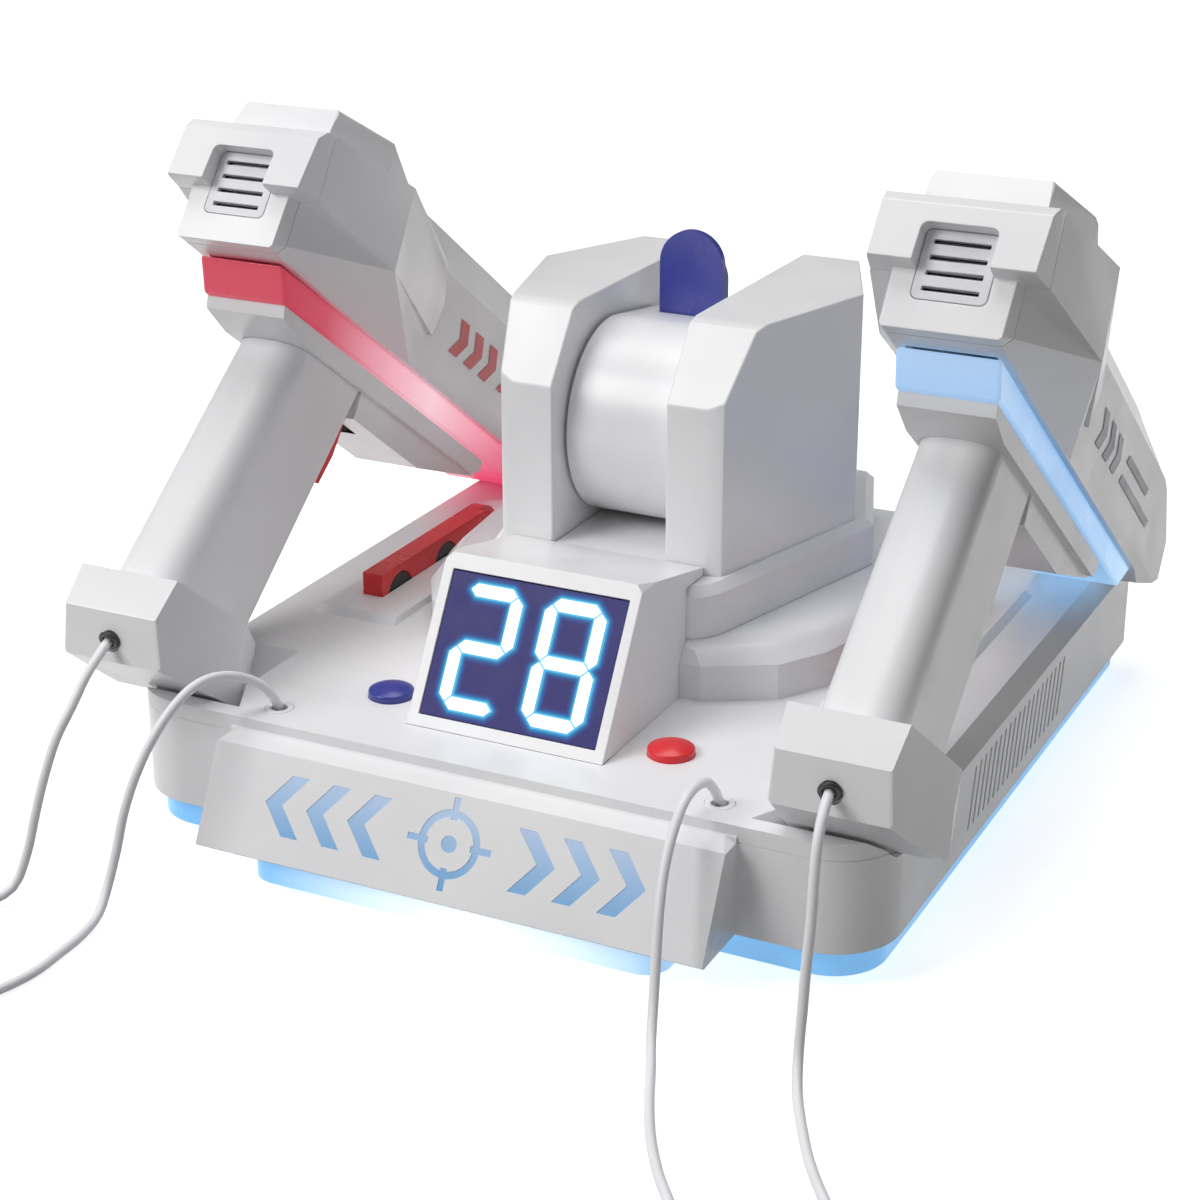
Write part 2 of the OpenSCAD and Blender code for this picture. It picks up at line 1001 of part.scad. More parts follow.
module gun_cap_body() {
  difference() {
    union() {
      // upper half, wider towards the shell
      intersection() {
        slab_x([[0, 36], [-2.7, 36.6], [0.3, 57.6], [4.2, 61.9], [9.8, 62.7],
            [9.8, 36]], -33, 33);
        slab_z([[-28.7, -3], [28.7, -3], [30.9, 9.8], [-30.9, 9.8]], 30, 70);
        slab_y([[-31.1, 30], [-30.1, 64], [30.1, 64], [31.1, 30]], -10, 20);
      }
      // lower half
      intersection() {
        slab_x([[3.6, 14.7], [4.6, 36.2], [9.8, 36.2], [9.8, 14.7]], -24, 24);
        slab_z([[-20.9, 3.4], [20.9, 3.4], [23, 9.9], [-23, 9.9]], 10, 40);
        slab_y([[-23, 18], [-20, 14.7], [20, 14.7], [23, 18], [23, 37],
            [-23, 37]], 0, 12);
      }
    }
    slab_x([[8.6, 17], [8.6, 56], [12, 60], [12, 17]], -18, 18);
    slab_y(rounded(13.2, 25.4, 50.8, 2.5), -6, 7);
    slab_x([[6, 27], [12, 27], [12, 49], [6, 49]], -11, 11);
  }
}

module gun_grille_body() {
  difference() {
    intersection() {
      slab_x([[4.05, 25], [5.25, 51], [6.9, 51], [6.9, 25]], -14, 14);
      slab_y(rounded(13, 25.6, 50.6, 2.4), 0, 8);
    }
    for (v = [29.5, 35.1, 40.7, 46.3])
      box([-9.8, 0, v - 0.8], [9.8, 8, v + 0.8]);
  }
}

module gun_strip_body() {
  difference() {
    slab_x([[17.4, 13.3], [26.8, 1.4], [250, 1.4], [265, 13.3]],
      -strip_half, strip_half);
    slab_x([[25, 14], [31, 4.4], [244, 4.4], [256, 14]],
      -strip_half + 3.4, strip_half - 3.4);
  }
}

module gun_frame_body() {
  difference() {
    union() {
      slab_x([[28.6, 1.4], [30.3, -3.1], [47, -6.6], [208, -6.6], [213, -3],
          [213, 1.4]], -17.4, 17.4);
      slab_x([[102.8, -6], [102.8, -18.2], [127, -18.7], [163, -19],
          [212, -6.6], [212, -6]], -15, 15);
    }
    // trigger well with side pockets for its spring
    box([-5, 103.8, -20], [5, 124, -2.5]);
    box([-9.6, 104.2, -13], [9.6, 112.2, -4.8]);
    rod_x(108, -9, 2.05, -12, 12);
  }
}

module gun_grip_body() {
  difference() {
    intersection() {
      hull() {
        translate([0, 75.15, -7.2])
          linear_extrude(0.6)
            grip_plan(27.4);
        translate([0, 39.5, -126])
          linear_extrude(0.6)
            grip_plan(29.4);
      }
      slab_x([[0, -111.5], [120, -124.9], [120, 0], [0, 0]], -20, 20);
    }
    hull() {
      translate([0, 75, -6.6])
        linear_extrude(0.6)
          square([18, 30], center = true);
      translate([0, 41, -126.6])
        linear_extrude(0.6)
          square([18, 40], center = true);
    }
  }
}

// Grip section, long along the barrel, with a rounder rear.
module grip_plan(half) {
  translate([-grip_half, 12 - half])
    square([2 * grip_half, 2 * half - 15.5]);
  translate([-grip_half + 3.5, 0])
    square([2 * grip_half - 7, half]);
  translate([-grip_half + 12, -half])
    square([2 * grip_half - 24, half]);
  for (x = [-1, 1]) {
    translate([x * (grip_half - 12), 12 - half])
      circle(12, $fn = 32);
    translate([x * (grip_half - 3.5), half - 3.5])
      circle(3.5, $fn = 24);
  }
}

module gun_butt_body() {
  difference() {
    hull() {
      station(8.2, [[20.9, -112.5], [20.4, -113.2]]);
      station(3.8, [[19.8, -128.4], [19, -129]]);
      station(13.6, [[21.2, -144], [20, -145.2]]);
      station(48, [[29, -116.95], [29.5, -130]]);
      station(59.6, [[28.3, -144], [27, -146.4]]);
      station(71.5, [[20, -119.55], [21, -124]]);
      station(72, [[21, -132.6], [20, -133.8]]);
    }
    hull() {
      station(22, [[13, -118], [13, -130]]);
      station(62, [[13, -122], [13, -131]]);
    }
    box([-9, 32, -125], [9, 58, -100]);
    translate([0, 8, -139.4])
      rotate([-59.2, 0, 0])
        cylinder(r = 4.2, h = 19);
  }
}

module trigger_body() {
  difference() {
    union() {
      slab_x([[104.8, -5], [111, -5], [113.5, -20], [112.5, -32], [108, -45.5],
          [104, -46], [104.8, -34], [105.8, -20], [104.8, -13]], -4.5, 4.5);
      rod_x(108, -9, 2, -11.8, 11.8);
    }
  }
}

module trigger_spring_body() {
  difference() {
    union() {
      rod_x(108, -9, 3.4, 5.4, 9.2);
      rod_x(108, -9, 3.4, -9.2, -5.4);
    }
    rod_x(108, -9, 2.4, -10, 10);
  }
}

module gun_board_body() {
  union() {
    box([-14, 34, 6], [14, 200, 7.6]);
    box([-5, 180, 7.6], [5, 196, 12]);
    for (u = [50 : 30 : 170])
      box([-2, u, 4.4], [2, u + 4, 6]);
  }
}

module gun_lens_body() {
  rod_y(0, 31, 7, 300.2, 304);
}

module left_gun_shell() {
  place()
    color("white")
      on_gun(-1)
        gun_shell_body();
}

module left_gun_cap() {
  place()
    color("white")
      on_gun(-1)
        gun_cap_body();
}

module left_gun_grille() {
  place()
    color("lightgray")
      on_gun(-1)
        gun_grille_body();
}

module left_gun_strip() {
  place()
    color("crimson")
      on_gun(-1)
        gun_strip_body();
}

module left_gun_frame() {
  place()
    color("white")
      on_gun(-1)
        gun_frame_body();
}

module left_gun_grip() {
  place()
    color("white")
      on_gun(-1)
        gun_grip_body();
}

module left_gun_butt() {
  place()
    color("white")
      on_gun(-1)
        gun_butt_body();
}

module left_trigger() {
  place()
    color("red")
      on_gun(-1)
        trigger_body();
}

module left_trigger_spring() {
  place()
    color("silver")
      on_gun(-1)
        trigger_spring_body();
}

module left_gun_board() {
  place()
    color("green")
      on_gun(-1)
        gun_board_body();
}

module left_gun_lens() {
  place()
    color("lightcyan")
      on_gun(-1)
        gun_lens_body();
}

module right_gun_shell() {
  place()
    color("white")
      on_gun(1)
        gun_shell_body();
}

module right_gun_cap() {
  place()
    color("white")
      on_gun(1)
        gun_cap_body();
}

module right_gun_grille() {
  place()
    color("lightgray")
      on_gun(1)
        gun_grille_body();
}

module right_gun_strip() {
  place()
    color("deepskyblue")
      on_gun(1)
        gun_strip_body();
}

module right_gun_frame() {
  place()
    color("white")
      on_gun(1)
        gun_frame_body();
}

module right_gun_grip() {
  place()
    color("white")
      on_gun(1)
        gun_grip_body();
}

module right_gun_butt() {
  place()
    color("white")
      on_gun(1)
        gun_butt_body();
}

module right_trigger() {
  place()
    color("blue")
      on_gun(1)
        trigger_body();
}

module right_trigger_spring() {
  place()
    color("silver")
      on_gun(1)
        trigger_spring_body();
}

module right_gun_board() {
  place()
    color("green")
      on_gun(1)
        gun_board_body();
}

module right_gun_lens() {
  place()
    color("lightcyan")
      on_gun(1)
        gun_lens_body();
}

// ---------- cords ----------

function unit(v) = v / norm(v);

function heading(p, i) =
  unit(p[min(i + 1, len(p) - 1)] - p[max(i - 1, 0)]);

// Carry one sideways direction along the route without twist.
function carry(p, i, n) = i == len(p) ? [] :
  let (t = heading(p, i), m = unit(n - (n * t) * t))
    concat([m], carry(p, i + 1, m));

module swept_cord(p) {
  n = cord_sides;
  side = carry(p, 0, [1, 0.1, 0]);
  rings = [for (i = [0 : len(p) - 1])
    let (t = heading(p, i), u = side[i], w = cross(t, u))
      for (k = [0 : n - 1])
        p[i] + cord_d / 2 * (cos(360 * k / n) * u + sin(360 * k / n) * w)];
  walls = [for (i = [0 : len(p) - 2], k = [0 : n - 1])
    let (a = i * n + k, b = i * n + (k + 1) % n)
      each [[a, a + n, b], [b, a + n, b + n]]];
  first = [for (k = [0 : n - 1]) k];
  last = [for (k = [n - 1 : -1 : 0]) (len(p) - 1) * n + k];
  polyhedron(rings, concat([first, last], walls), convexity = 10);
}

module stored_coil(p) {
  translate([p[0], p[1], 0])
    rotate_extrude($fn = 64)
      translate([coil_r - coil_rows * cord_d / 2, 0])
        square([coil_rows * cord_d, coil_layers * cord_d]);
}

module left_cord_tube() {
  place()
    color("gainsboro") {
      swept_cord(left_base_route);
      swept_cord(left_gun_route);
    }
}

module left_cord_coil() {
  place()
    color("gainsboro")
      stored_coil(left_coil);
}

module right_cord_tube() {
  place()
    color("gainsboro") {
      swept_cord(right_base_route);
      swept_cord(right_gun_route);
    }
}

module right_cord_coil() {
  place()
    color("gainsboro")
      stored_coil(right_coil);
}

// ---------- selection ----------

bottom_plate();
feet();
underglow_ring();
base_shell();
deck_cover();
nose_fascia();
fascia_inlay();
cord_grommets();
case_screws();
display_housing();
display_window();
display_digits();
pedestal();
left_cheek();
right_cheek();
projector_drum();
slide_gate();
lens_barrel();
focus_ring();
front_lens();
lamp_board();
slide_blue();
slide_red_left();
film_red_left();
slide_red_right();
film_red_right();
blue_button();
red_button();
button_springs();
switch_board();
main_board();
battery_door();
batteries();
power_switch();
left_gun_shell();
left_gun_cap();
left_gun_grille();
left_gun_strip();
left_gun_frame();
left_gun_grip();
left_gun_butt();
left_trigger();
left_trigger_spring();
left_gun_board();
left_gun_lens();
right_gun_shell();
right_gun_cap();
right_gun_grille();
right_gun_strip();
right_gun_frame();
right_gun_grip();
right_gun_butt();
right_trigger();
right_trigger_spring();
right_gun_board();
right_gun_lens();
left_cord_tube();
left_cord_coil();
right_cord_tube();
right_cord_coil();
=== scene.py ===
import math

import bmesh
import bpy
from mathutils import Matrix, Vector
from mathutils.bvhtree import BVHTree
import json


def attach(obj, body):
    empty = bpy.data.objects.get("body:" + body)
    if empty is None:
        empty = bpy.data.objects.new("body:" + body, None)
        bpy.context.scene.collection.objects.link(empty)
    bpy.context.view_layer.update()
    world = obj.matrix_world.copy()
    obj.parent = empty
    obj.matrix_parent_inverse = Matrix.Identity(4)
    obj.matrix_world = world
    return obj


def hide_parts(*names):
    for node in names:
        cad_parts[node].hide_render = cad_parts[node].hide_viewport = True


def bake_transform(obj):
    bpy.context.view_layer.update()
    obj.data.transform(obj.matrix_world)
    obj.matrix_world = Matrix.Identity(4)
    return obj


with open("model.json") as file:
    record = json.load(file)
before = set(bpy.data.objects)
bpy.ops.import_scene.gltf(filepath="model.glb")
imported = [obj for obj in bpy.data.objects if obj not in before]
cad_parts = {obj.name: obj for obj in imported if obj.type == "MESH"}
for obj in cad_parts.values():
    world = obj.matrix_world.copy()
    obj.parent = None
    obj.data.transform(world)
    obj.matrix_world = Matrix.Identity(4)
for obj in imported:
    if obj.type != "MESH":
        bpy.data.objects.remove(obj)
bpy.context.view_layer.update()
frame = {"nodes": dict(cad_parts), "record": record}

nodes = frame["nodes"]
MM = 0.001

# ---------------------------------------------------------------- dimensions
# Millimetres, in the drawing space of the CAD source; at() carries a point of
# that space to the row frame.
GUN_X = 138.6
GUN_Y = 83.3
GUN_Z = 202.8
GUN_SLOPE = math.radians(35.5)
GUN_FRONT = GUN_Y + 309 * math.cos(GUN_SLOPE) + 39 * math.sin(GUN_SLOPE)
SHIFT_Y = -(0.6 + GUN_FRONT) / 2
CORD_D = 3.5
CORD_PITCH = 3.6
COIL_OUTER = 27.0
COIL_MEAN = 21.6
CIRCLE_STEPS = 32
WINDOW_TILT = math.radians(58.8)
WINDOW_Y = 51.8
WINDOW_Z = 60
WINDOW_MIDDLE = 27
FLOOR_Z = -0.5


def at(x, y, z):
    """A drawing point, in the row frame."""
    return Vector((x, y + SHIFT_Y, z)) * MM


def gun_at(side, w, u, v):
    """A point of a gun: w across, u along the barrel, v square to it, up."""
    c, s = math.cos(GUN_SLOPE), math.sin(GUN_SLOPE)
    return at(side * GUN_X + w, GUN_Y + u * c + v * s, GUN_Z - u * s + v * c)


def window_at(x, y, z):
    """A point of the display: x across, y up its slope, z out of its face."""
    c, s = math.cos(WINDOW_TILT), math.sin(WINDOW_TILT)
    return at(x, WINDOW_Y + y * c - z * s, WINDOW_Z + y * s + z * c)


def side_word(side):
    """left for -1, right for 1."""
    return "left" if side < 0 else "right"


# -------------------------------------------------------------------- camera
def add_camera():
    """A long lens from the front right, looking down."""
    data = bpy.data.cameras.new("camera")
    data.sensor_width = 36
    data.lens = 74.75
    data.clip_end = 20
    cam = bpy.data.objects.new("camera", data)
    cam.location = at(384.4, -653.4, 434.2)
    cam.rotation_euler = (math.radians(90 - 21.98), 0, math.radians(26.19))
    bpy.context.collection.objects.link(cam)
    bpy.context.scene.camera = cam


add_camera()
bpy.context.scene.view_settings.view_transform = "Standard"


# ----------------------------------------------------------------- materials
class Shader:
    """A Principled material being built, with short helpers for its nodes."""

    def __init__(self, name):
        self.mat = bpy.data.materials.new(name)
        self.mat.use_nodes = True
        self.tree = self.mat.node_tree
        self.bsdf = self.tree.nodes["Principled BSDF"]
        place = self.tree.nodes.new("ShaderNodeTexCoord")
        self.coords = place.outputs["Object"]

    def link(self, a, b):
        self.tree.links.new(a, b)

    def noise(self, scale, detail=2.0):
        n = self.tree.nodes.new("ShaderNodeTexNoise")
        n.inputs["Scale"].default_value = scale
        n.inputs["Detail"].default_value = detail
        self.link(self.coords, n.inputs["Vector"])
        return n.outputs["Fac"]

    def ramp(self, value, stops):
        r = self.tree.nodes.new("ShaderNodeValToRGB")
        band = r.color_ramp
        while len(band.elements) < len(stops):
            band.elements.new(0.5)
        for e, (place, colour) in zip(band.elements, stops):
            e.position = place
            e.color = (*colour, 1)
        self.link(value, r.inputs["Fac"])
        return r.outputs["Color"]

    def spread(self, value, low, high, start=0.3, end=0.7):
        m = self.tree.nodes.new("ShaderNodeMapRange")
        m.inputs["From Min"].default_value = start
        m.inputs["From Max"].default_value = end
        m.inputs["To Min"].default_value = low
        m.inputs["To Max"].default_value = high
        self.link(value, m.inputs["Value"])
        return m.outputs["Result"]

    def along(self, start, end):
        """0 at start, 1 at end, for the place on that line."""
        d = end - start
        sub = self.tree.nodes.new("ShaderNodeVectorMath")
        sub.operation = "SUBTRACT"
        self.link(self.coords, sub.inputs[0])
        sub.inputs[1].default_value = start
        dot = self.tree.nodes.new("ShaderNodeVectorMath")
        dot.operation = "DOT_PRODUCT"
        self.link(sub.outputs[0], dot.inputs[0])
        dot.inputs[1].default_value = d / d.length_squared
        return dot.outputs["Value"]

    def distance(self, point):
        v = self.tree.nodes.new("ShaderNodeVectorMath")
        v.operation = "DISTANCE"
        self.link(self.coords, v.inputs[0])
        v.inputs[1].default_value = point
        return v.outputs["Value"]

    def bump(self, value, depth):
        b = self.tree.nodes.new("ShaderNodeBump")
        b.inputs["Distance"].default_value = depth
        self.link(value, b.inputs["Height"])
        self.link(b.outputs["Normal"], self.bsdf.inputs["Normal"])

    def set(self, **values):
        for name, value in values.items():
            self.bsdf.inputs[name.replace("_", " ")].default_value = value


def rgb(code):
    """Linear colour of a six digit sRGB code."""
    parts = [int(code[i:i + 2], 16) / 255 for i in (0, 2, 4)]
    return tuple(p / 12.92 if p < 0.04045 else ((p + 0.055) / 1.055) ** 2.4
                 for p in parts)


def plastic(name, light, dark, rough=0.32, grain=0.00003, coat=0.0):
    """Moulded plastic: slow tone change, fine moulded grain, uneven sheen."""
    s = Shader(name)
    s.link(s.ramp(s.noise(18), [(0.3, rgb(dark)), (0.7, rgb(light))]),
           s.bsdf.inputs["Base Color"])
    s.link(s.spread(s.noise(60, 4), rough - 0.05, rough + 0.06),
           s.bsdf.inputs["Roughness"])
    s.bump(s.noise(2600, 3), grain)
    s.set(Coat_Weight=coat, Coat_Roughness=0.12, IOR=1.5)
    return s.mat


# Base colour of a lit plastic, as a share of its own light's colour.
GLOW_BODY = 0.45


def glowing(name, start, end, stops, strength):
    """Clear plastic lit from inside, its light falling off along a line."""
    s = Shader(name)
    tone = s.ramp(s.along(start, end), stops)
    s.link(s.ramp(s.along(start, end), [
        (place, tuple(GLOW_BODY * c for c in colour))
        for place, colour in stops]),
        s.bsdf.inputs["Base Color"])
    s.link(tone, s.bsdf.inputs["Emission Color"])
    s.link(s.spread(s.noise(70, 3), 0.26, 0.35), s.bsdf.inputs["Roughness"])
    s.bump(s.noise(1800, 2), 0.00002)
    s.set(Emission_Strength=strength, IOR=1.5)
    return s.mat


def strip_glow(name, side, stops, strength):
    """Light strip of a gun, its light falling off along the barrel."""
    return glowing(name, gun_at(side, 0, 17, 7), gun_at(side, 0, 265, 7),
                   stops, strength)


def metal(name, tone, rough):
    """Bare metal with fine tone and sheen changes."""
    s = Shader(name)
    s.link(s.ramp(s.noise(400, 4), [(0.3, tuple(0.8 * t for t in tone)),
                                    (0.7, tone)]), s.bsdf.inputs["Base Color"])
    s.link(s.spread(s.noise(900, 4), rough - 0.08, rough + 0.1),
           s.bsdf.inputs["Roughness"])
    s.bump(s.noise(1500), 0.00002)
    s.set(Metallic=1.0)
    return s.mat


def window_material():
    """Dark blue window with the light of the digits showing round them."""
    s = Shader("dark_window")
    s.link(s.ramp(s.noise(30), [(0.3, rgb("2B2A5C")), (0.7, rgb("333166"))]),
           s.bsdf.inputs["Base Color"])
    s.link(s.spread(s.noise(90, 3), 0.3, 0.38), s.bsdf.inputs["Roughness"])
    s.bump(s.noise(900), 0.00001)
    s.set(Specular_IOR_Level=0.1, Emission_Color=(*rgb("333166"), 1),
          Emission_Strength=0.2)
    return s.mat


def halo_material():
    """Light round the digits: bright beside them, gone at the outer edge."""
    s = Shader("digit_halo")
    a = s.tree.nodes.new("ShaderNodeAttribute")
    a.attribute_name = "glow"
    tone = s.ramp(a.outputs["Fac"], [
        (0.0, rgb("333166")), (0.45, rgb("2C4E8C")), (0.8, rgb("2A7CAB")),
        (1.0, rgb("58B4DC"))])
    s.link(tone, s.bsdf.inputs["Base Color"])
    s.link(tone, s.bsdf.inputs["Emission Color"])
    s.link(s.spread(s.noise(90, 3), 0.3, 0.38), s.bsdf.inputs["Roughness"])
    s.set(Emission_Strength=0.4, Specular_IOR_Level=0.1)
    return s.mat


def ring_material():
    """Underglow: blue all round, white where its lamp sits behind the nose."""
    s = Shader("blue_glow")
    lamp = s.distance(at(12, 4, 8))
    tone = s.ramp(s.spread(lamp, 0.0, 1.0, 0.0, 0.2), [
        (0.0, rgb("F4FAFF")), (0.18, rgb("D6EAFB")), (0.42, rgb("79B4E2")),
        (1.0, rgb("5B9FD6"))])
    s.link(tone, s.bsdf.inputs["Base Color"])
    s.link(tone, s.bsdf.inputs["Emission Color"])
    s.link(s.spread(s.noise(70, 3), 0.24, 0.34), s.bsdf.inputs["Roughness"])
    s.bump(s.noise(1800, 2), 0.00002)
    s.set(Emission_Strength=0.75)
    return s.mat


RED_STOPS = [(0.0, rgb("C03048")), (0.16, rgb("C84058")),
             (0.42, rgb("F0A8B8")), (0.55, rgb("F7C8D2")),
             (0.72, rgb("EE8FA4")), (0.9, rgb("E34E73")), (1.0, rgb("D83A62"))]
BLUE_STOPS = [(0.0, rgb("A9C8EC")), (0.1, rgb("8FBCE8")),
              (0.45, rgb("73A8DC")), (0.8, rgb("86B8E6")),
              (1.0, rgb("A6D0F4"))]

MATERIALS = {
    "white_shell": plastic("white_shell", "F0F0F1", "E9E9EB", 0.34, coat=0.12),
    "grey_plastic": plastic("grey_plastic", "C6C7CA", "BBBCC0", 0.5, 0.00006),
    "foot_rubber": plastic("foot_rubber", "2A2A2C", "1E1E20", 0.75, 0.0001),
    "blue_glow": ring_material(),
    "red_glow": strip_glow("red_glow", -1, RED_STOPS, 0.75),
    "blue_strip_glow": strip_glow("blue_strip_glow", 1, BLUE_STOPS, 0.75),
    "pale_blue_inlay": glowing(
        "pale_blue_inlay", at(0, 8, 16), at(0, 17, 48),
        [(0.1, rgb("6FA9DA")), (0.9, rgb("B9D0EE"))], 0.5),
    "screw_steel": metal("screw_steel", (0.62, 0.62, 0.64), 0.3),
    "dark_window": window_material(),
    "digit_light": glowing(
        "digit_light", window_at(0, 0, 0), window_at(0, 54, 0),
        [(0.0, rgb("F2FAFF")), (1.0, rgb("FFFFFF"))], 1.1),
    "dark_plastic": plastic("dark_plastic", "303033", "242427", 0.42, 0.00005),
    "black_rubber": plastic("black_rubber", "1C1C1E", "141416", 0.7, 0.00009),
    "board": plastic("board", "1E6B3C", "17552F", 0.4),
    "blue_plastic": plastic("blue_plastic", "343C9C", "2D348C", 0.3, coat=0.2),
    "red_plastic": plastic("red_plastic", "E8222B", "DC1C25", 0.3, coat=0.2),
    "black_film": plastic("black_film", "101014", "0A0A0C", 0.25),
    "spring_steel": metal("spring_steel", (0.7, 0.7, 0.72), 0.22),
    "battery_case": plastic("battery_case", "2E4A38", "24392C", 0.28),
    "grille_plastic": plastic("grille_plastic", "E2E2E5", "D8D8DC", 0.4),
    "cord_sleeve": plastic("cord_sleeve", "F2F2F4", "EAEAED", 0.42, 0.00004),
    "dark_hole": plastic("dark_hole", "1A1A1D", "121214", 0.6),
    "red_print": plastic("red_print", "D4202A", "C81C26", 0.35, 0.00001),
    "navy_print": plastic("navy_print", "28284A", "222242", 0.35, 0.00001),
    "halo": halo_material(),
}


def lens_material():
    """Clear glass with a faint coat."""
    s = Shader("lens_glass")
    s.link(s.ramp(s.noise(20), [(0.3, (0.86, 0.93, 0.97)),
                                (0.7, (0.92, 0.97, 1.0))]),
           s.bsdf.inputs["Base Color"])
    s.link(s.spread(s.noise(120, 3), 0.02, 0.06), s.bsdf.inputs["Roughness"])
    s.set(Transmission_Weight=1.0, IOR=1.5, Coat_Weight=0.5)
    return s.mat


MATERIALS["lens_glass"] = lens_material()


# ------------------------------------------------------- finish of CAD nodes
def shading_group():
    """Smooth shading with no stored normals, as a modifier."""
    g = bpy.data.node_groups.new("smooth shading", "GeometryNodeTree")
    g.interface.new_socket("Geometry", in_out="INPUT",
                           socket_type="NodeSocketGeometry")
    g.interface.new_socket("Geometry", in_out="OUTPUT",
                           socket_type="NodeSocketGeometry")
    start = g.nodes.new("NodeGroupInput")
    drop = g.nodes.new("GeometryNodeRemoveAttribute")
    drop.inputs["Name"].default_value = "custom_normal"
    shade = g.nodes.new("GeometryNodeSetShadeSmooth")
    end = g.nodes.new("NodeGroupOutput")
    g.links.new(start.outputs[0], drop.inputs[0])
    g.links.new(drop.outputs[0], shade.inputs[0])
    g.links.new(shade.outputs[0], end.inputs[0])
    return g


SMOOTH = shading_group()

# Edge radius in millimetres, where it isn't DEFAULT_RADIUS. A gun's pieces
# are named without their side.
DEFAULT_RADIUS = 0.5
EDGE_RADIUS = {
    "base_shell": 0.2, "deck_cover": 0.7, "nose_fascia": 0.35,
    "fascia_inlay": 0.2, "cord_grommets": 0.6, "case_screws": 0.3,
    "display_housing": 0.8, "display_window": 0.2, "display_digits": 0.12,
    "pedestal": 1.0, "left_cheek": 2.0, "right_cheek": 2.0,
    "projector_drum": 0.8, "slide_gate": 0.5, "focus_ring": 0.3,
    "underglow_ring": 1.5, "gun_shell": 1.8, "gun_cap": 1.4,
    "gun_grille": 0.3, "gun_strip": 1.5, "gun_frame": 0.9, "gun_grip": 0.6,
    "gun_butt": 1.4, "trigger": 0.9, "slide_blue": 0.8,
    "slide_red_left": 0.8, "slide_red_right": 0.8,
}
# Nodes whose edges stay as they are.
PLAIN_NODES = {"button_springs", "left_trigger_spring", "right_trigger_spring",
               "front_lens", "left_gun_lens", "right_gun_lens"}
# Shells whose faces keep their own triangles.
UNMERGED = {"base_shell", "deck_cover"}


def edge_radius(name):
    bare = name.replace("left_", "").replace("right_", "")
    return EDGE_RADIUS.get(name, EDGE_RADIUS.get(bare, DEFAULT_RADIUS)) * MM


def finish_node(name, obj):
    """Rounded edges and even shading, as modifiers over the fixed mesh."""
    weld = obj.modifiers.new("join corners", "WELD")
    weld.merge_threshold = 0.02 * MM
    if name not in UNMERGED:
        flat = obj.modifiers.new("whole faces", "DECIMATE")
        flat.decimate_type = "DISSOLVE"
        flat.angle_limit = math.radians(0.6)
    shade = obj.modifiers.new("smooth shading", "NODES")
    shade.node_group = SMOOTH
    if name not in PLAIN_NODES:
        edge = obj.modifiers.new("rounded edges", "BEVEL")
        edge.width = edge_radius(name)
        edge.segments = 3
        edge.limit_method = "ANGLE"
        edge.angle_limit = math.radians(24)
        edge.miter_outer = "MITER_ARC"
    normals = obj.modifiers.new("even normals", "WEIGHTED_NORMAL")
    normals.weight = 60


slot_of = {p["node"]: p["material_slot"] for p in frame["record"]["subparts"]}
for name, obj in nodes.items():
    slot = slot_of[name]
    if name == "right_gun_strip":
        slot = "blue_strip_glow"
    obj.data.materials.clear()
    obj.data.materials.append(MATERIALS[slot])
    finish_node(name, obj)


# --------------------------------------------------------------- mesh pieces
def add_mesh(name, points, faces, material, smooth=True):
    mesh = bpy.data.meshes.new(name)
    mesh.from_pydata([tuple(p) for p in points], [], faces)
    mesh.update()
    if smooth:
        mesh.polygons.foreach_set("use_smooth", [True] * len(mesh.polygons))
    mesh.materials.append(MATERIALS[material])
    obj = bpy.data.objects.new(name, mesh)
    bpy.context.collection.objects.link(obj)
    return obj


def curve_through(route, step=4.0):
    """Points of a smooth line through a route, about one step apart."""
    p = [Vector(q) for q in route]
    p = [2 * p[0] - p[1]] + p + [2 * p[-1] - p[-2]]
    line = []
    for a, b, c, d in zip(p, p[1:], p[2:], p[3:]):
        ta = 0.0
        tb = ta + max((b - a).length, 0.01) ** 0.5
        tc = tb + max((c - b).length, 0.01) ** 0.5
        td = tc + max((d - c).length, 0.01) ** 0.5
        n = max(1, round((c - b).length / step))
        for i in range(n):
            t = tb + (tc - tb) * i / n
            a1 = a.lerp(b, (t - ta) / (tb - ta))
            a2 = b.lerp(c, (t - tb) / (tc - tb))
            a3 = c.lerp(d, (t - tc) / (td - tc))
            b1 = a1.lerp(a2, (t - ta) / (tc - ta))
            b2 = a2.lerp(a3, (t - tb) / (td - tb))
            line.append(b1.lerp(b2, (t - tb) / (tc - tb)))
    line.append(p[-2])
    return line


def tube(name, line, radius, material, sides=14):
    """A round tube whose rings stand on the points of a line."""
    n = len(line)
    ahead = [(line[min(i + 1, n - 1)] - line[max(i - 1, 0)]).normalized()
             for i in range(n)]
    across = ahead[0].orthogonal().normalized()
    points, faces = [], []
    for i, (p, t) in enumerate(zip(line, ahead)):
        across = (across - t * across.dot(t)).normalized()
        up = t.cross(across)
        for k in range(sides):
            a = 2 * math.pi * k / sides
            points.append(p + radius * (math.cos(a) * across
                                        + math.sin(a) * up))
    for i in range(n - 1):
        for k in range(sides):
            a, b = i * sides + k, i * sides + (k + 1) % sides
            faces.append((a, b, b + sides, a + sides))
    faces.append(tuple(range(sides))[::-1])
    faces.append(tuple(range((n - 1) * sides, n * sides)))
    return add_mesh(name, points, faces, material)


# --------------------------------------------------------------------- cords
def ease(x):
    """A smooth step from 0 to 1."""
    x = min(max(x, 0.0), 1.0)
    return x * x * (3 - 2 * x)


